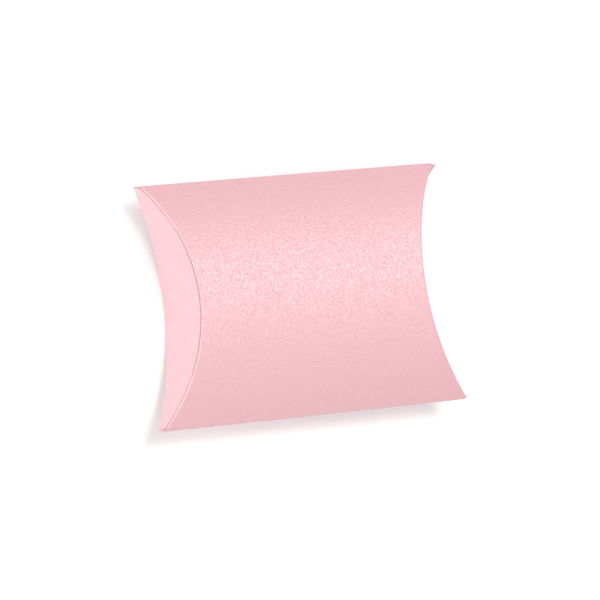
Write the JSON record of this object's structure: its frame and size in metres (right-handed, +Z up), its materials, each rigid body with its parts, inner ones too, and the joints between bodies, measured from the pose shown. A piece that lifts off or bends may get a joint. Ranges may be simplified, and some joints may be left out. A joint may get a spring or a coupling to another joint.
{
  "type": "favor box",
  "caption": "Pillow-shaped party favour box of grained pink card, with bowed panels, a glued long seam and curved end flaps that fold open.",
  "frame": {"origin": "bottom centre of the box as it lies on its back panel", "axes": "+X along the long edges, +Y across the box towards the glued seam, +Z up through the front panel"},
  "size_m": [0.1178, 0.0886, 0.0304],
  "materials": {
    "pink_card": "embossed satin grain",
    "glue": "dried film"
  },
  "bodies": {
    "sleeve": {"front_panel": "pink_card", "back_panel": "pink_card", "plain_edge_fold": "pink_card", "seam_edge_fold": "pink_card", "glue_tab": "pink_card", "glue_film": "glue"},
    "left_inner_flap_body": {"left_inner_flap": "pink_card"},
    "right_inner_flap_body": {"right_inner_flap": "pink_card"},
    "left_outer_flap_body": {"left_outer_flap": "pink_card"},
    "right_outer_flap_body": {"right_outer_flap": "pink_card"}
  },
  "joints": [
    {"name": "left_outer_crease", "type": "hinge", "parent": "sleeve", "child": "left_outer_flap_body", "pos_m": [-0.0482, 0, 0], "axis": [0, -1, 0], "range_deg": [0, 80]},
    {"name": "left_inner_crease", "type": "hinge", "parent": "sleeve", "child": "left_inner_flap_body", "pos_m": [-0.0415, 0, 0.0304], "axis": [0, 1, 0], "range_deg": [0, 40]},
    {"name": "right_outer_crease", "type": "hinge", "parent": "sleeve", "child": "right_outer_flap_body", "pos_m": [0.0437, 0, 0.0304], "axis": [0, -1, 0], "range_deg": [0, 80]},
    {"name": "right_inner_crease", "type": "hinge", "parent": "sleeve", "child": "right_inner_flap_body", "pos_m": [0.0415, 0, 0], "axis": [0, 1, 0], "range_deg": [0, 40]}
  ],
  "couplings": [
    {"joint": "left_inner_crease", "follows": "left_outer_crease", "ratio": 0.5},
    {"joint": "right_inner_crease", "follows": "right_outer_crease", "ratio": 0.5}
  ]
}
